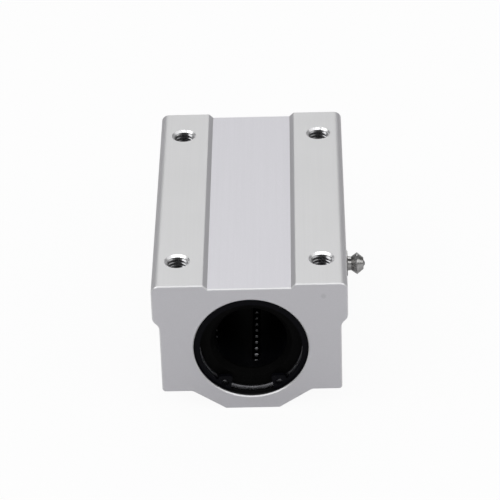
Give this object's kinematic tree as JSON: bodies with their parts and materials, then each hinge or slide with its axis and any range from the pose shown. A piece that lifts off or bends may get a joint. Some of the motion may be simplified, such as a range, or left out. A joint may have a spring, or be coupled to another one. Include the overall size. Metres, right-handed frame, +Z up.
{
  "type": "linear bearing block",
  "caption": "Long aluminium linear bearing block with ball bushings in its bore, retaining rings, tapped mounting holes and a side grease nipple.",
  "frame": {"origin": "on the shaft's axis, halfway along the block", "axes": "+Y along the shaft, away from the front face, +Z up, out of the mounting face, +X towards the grease nipple"},
  "size_m": [0.0598, 0.096, 0.041],
  "materials": {
    "satin_aluminium": "satin anodised, clear",
    "black_spring_steel": "phosphated, oiled, black",
    "spacer_aluminium": "turned",
    "bearing_steel": "ground",
    "black_resin": "moulded, smooth",
    "black_rubber": "moulded, matte",
    "end_ring_steel": "stamped",
    "ball_steel": "polished, greased",
    "nickel_steel": "nickel plated",
    "spring_wire": "drawn wire"
  },
  "bodies": {
    "block": {"housing": "satin_aluminium", "front_retaining_ring": "black_spring_steel", "rear_retaining_ring": "black_spring_steel", "middle_spacer": "spacer_aluminium", "front_bearing_sleeve": "bearing_steel", "front_bearing_cage": "black_resin", "front_bearing_outer_seal": "black_rubber", "front_bearing_inner_seal": "black_rubber", "front_bearing_outer_end_ring": "end_ring_steel", "front_bearing_inner_end_ring": "end_ring_steel", "rear_bearing_sleeve": "bearing_steel", "rear_bearing_cage": "black_resin", "rear_bearing_outer_seal": "black_rubber", "rear_bearing_inner_seal": "black_rubber", "rear_bearing_outer_end_ring": "end_ring_steel", "rear_bearing_inner_end_ring": "end_ring_steel", "front_ball_circuit_1": "ball_steel", "front_ball_circuit_2": "ball_steel", "front_ball_circuit_3": "ball_steel", "front_ball_circuit_4": "ball_steel", "front_ball_circuit_5": "ball_steel", "rear_ball_circuit_1": "ball_steel", "rear_ball_circuit_2": "ball_steel", "rear_ball_circuit_3": "ball_steel", "rear_ball_circuit_4": "ball_steel", "rear_ball_circuit_5": "ball_steel", "grease_nipple": "nickel_steel", "nipple_spring": "spring_wire"},
    "check_ball": {"nipple_check_ball": "ball_steel"}
  },
  "joints": [
    {"name": "check_ball_slide", "type": "slide", "parent": "block", "child": "check_ball", "axis": [-1, 0, 0], "range_m": [0, 0.0007], "stiffness_N_per_m": 300, "springref_m": -0.0006, "deforming": ["nipple_spring"]}
  ]
}
